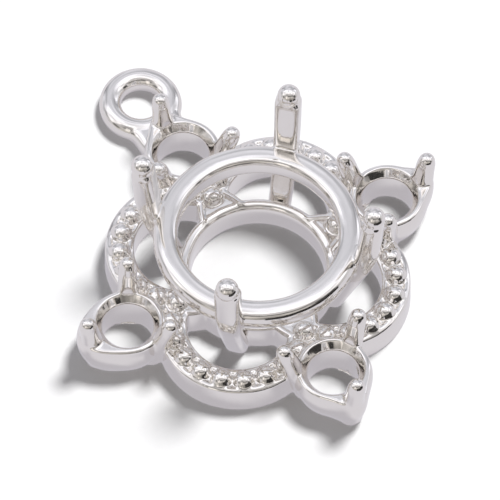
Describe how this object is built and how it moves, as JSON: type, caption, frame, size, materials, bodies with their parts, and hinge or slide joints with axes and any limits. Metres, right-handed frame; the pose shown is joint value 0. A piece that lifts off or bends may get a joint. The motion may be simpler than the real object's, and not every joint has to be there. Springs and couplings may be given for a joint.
{
  "type": "dangle pendant mounting",
  "caption": "Cast silver pendant mounting: a clawed round basket in beaded bands, with small clawed collets around it and a hanging loop.",
  "frame": {"origin": "on the axis of the centre basket, in the plane of the flat back that the mounting lies on", "axes": "+Z out of the front, along the basket's axis and the way the claws stand; +Y from the basket towards the hanging loop; +X towards the accent collet on the right when seen from the front with the loop at the top"},
  "size_m": [0.0182, 0.0215, 0.0078],
  "materials": {
    "silver": "cast sterling silver, tumbled and buffed to a bright mirror, with slightly soft cast surfaces"
  },
  "bodies": {
    "root": {"mounting": "silver"}
  },
  "joints": []
}
